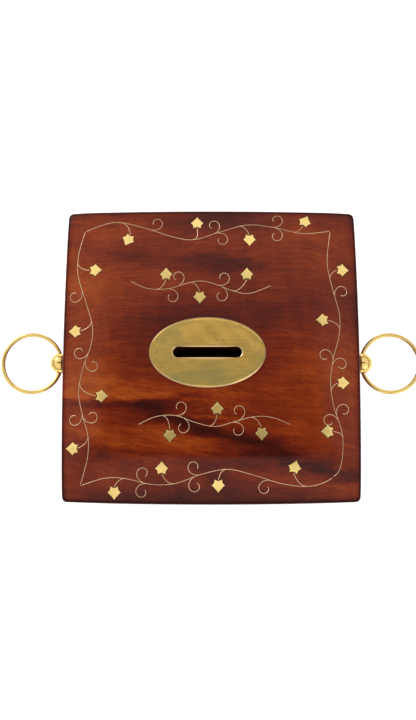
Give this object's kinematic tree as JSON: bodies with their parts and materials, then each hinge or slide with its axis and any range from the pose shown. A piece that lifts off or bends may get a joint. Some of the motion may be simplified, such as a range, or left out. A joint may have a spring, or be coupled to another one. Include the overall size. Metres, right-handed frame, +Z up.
{
  "type": "donation box",
  "caption": "Square wooden coin box with a hinged, cushion-topped lid, an oval brass slot plate, brass vine and leaf inlay, a lock and a ring handle on each side.",
  "frame": {"origin": "centre of the base, on its underside", "axes": "+Z up, -Y towards the front (the lock side), +X to the right seen from the front"},
  "size_m": [0.2336, 0.1546, 0.1102],
  "materials": {
    "lacquered_wood": "figured reddish-brown hardwood under satin lacquer",
    "base_wood": "plain, matt",
    "aged_brass": "antique, brushed, with olive patina",
    "leaf_brass": "flat, satin",
    "vine_brass": "drawn wire, rubbed down level with the wood",
    "polished_brass": "polished",
    "hinge_brass": "satin",
    "lock_steel": "brushed"
  },
  "bodies": {
    "box_body": {"front_wall": "lacquered_wood", "back_wall": "lacquered_wood", "left_wall": "lacquered_wood", "right_wall": "lacquered_wood", "base_panel": "base_wood", "keyhole_plate": "aged_brass", "left_ball_post": "polished_brass", "left_post_washer": "hinge_brass", "left_post_nut": "hinge_brass", "left_hinge_body_leaf": "hinge_brass", "left_hinge_pin": "hinge_brass", "right_ball_post": "polished_brass", "right_post_washer": "hinge_brass", "right_post_nut": "hinge_brass", "right_hinge_body_leaf": "hinge_brass", "right_hinge_pin": "hinge_brass", "lock_case": "lock_steel", "lock_back_plate": "lock_steel", "lock_spring": "lock_steel", "lock_screw_left": "lock_steel", "lock_screw_right": "lock_steel"},
    "lid": {"lid_board": "lacquered_wood", "slot_plate": "aged_brass", "slot_plate_nail_left": "aged_brass", "slot_plate_nail_right": "aged_brass", "lock_link_plate": "hinge_brass", "left_hinge_lid_leaf": "hinge_brass", "right_hinge_lid_leaf": "hinge_brass", "vine_back": "vine_brass", "vine_left": "vine_brass", "vine_front": "vine_brass", "vine_right": "vine_brass", "vine_upper": "vine_brass", "vine_lower": "vine_brass", "leaf_back_1": "leaf_brass", "leaf_back_2": "leaf_brass", "leaf_back_3": "leaf_brass", "leaf_back_4": "leaf_brass", "leaf_left_1": "leaf_brass", "leaf_left_2": "leaf_brass", "leaf_left_3": "leaf_brass", "leaf_left_4": "leaf_brass", "leaf_front_1": "leaf_brass", "leaf_front_2": "leaf_brass", "leaf_front_3": "leaf_brass", "leaf_front_4": "leaf_brass", "leaf_right_1": "leaf_brass", "leaf_right_2": "leaf_brass", "leaf_right_3": "leaf_brass", "leaf_right_4": "leaf_brass", "leaf_upper_1": "leaf_brass", "leaf_upper_2": "leaf_brass", "leaf_upper_3": "leaf_brass", "leaf_lower_1": "leaf_brass", "leaf_lower_2": "leaf_brass", "leaf_lower_3": "leaf_brass"},
    "left_ring": {"left_ring": "polished_brass"},
    "right_ring": {"right_ring": "polished_brass"},
    "lock_bolt": {"lock_bolt": "lock_steel"}
  },
  "joints": [
    {"name": "lid_hinge", "type": "hinge", "parent": "box_body", "child": "lid", "pos_m": [0, 0.0752, 0.09225], "axis": [-1, 0, 0], "range_deg": [0, 100]},
    {"name": "lock_bolt_slide", "type": "slide", "parent": "box_body", "child": "lock_bolt", "axis": [1, 0, 0], "range_m": [0, 0.005]},
    {"name": "left_ring_swing", "type": "hinge", "parent": "box_body", "child": "left_ring", "pos_m": [-0.084, 0, 0.0685], "axis": [0, -1, 0], "range_deg": [-98, 102]},
    {"name": "right_ring_swing", "type": "hinge", "parent": "box_body", "child": "right_ring", "pos_m": [0.084, 0, 0.0685], "axis": [0, 1, 0], "range_deg": [-98, 102]}
  ]
}
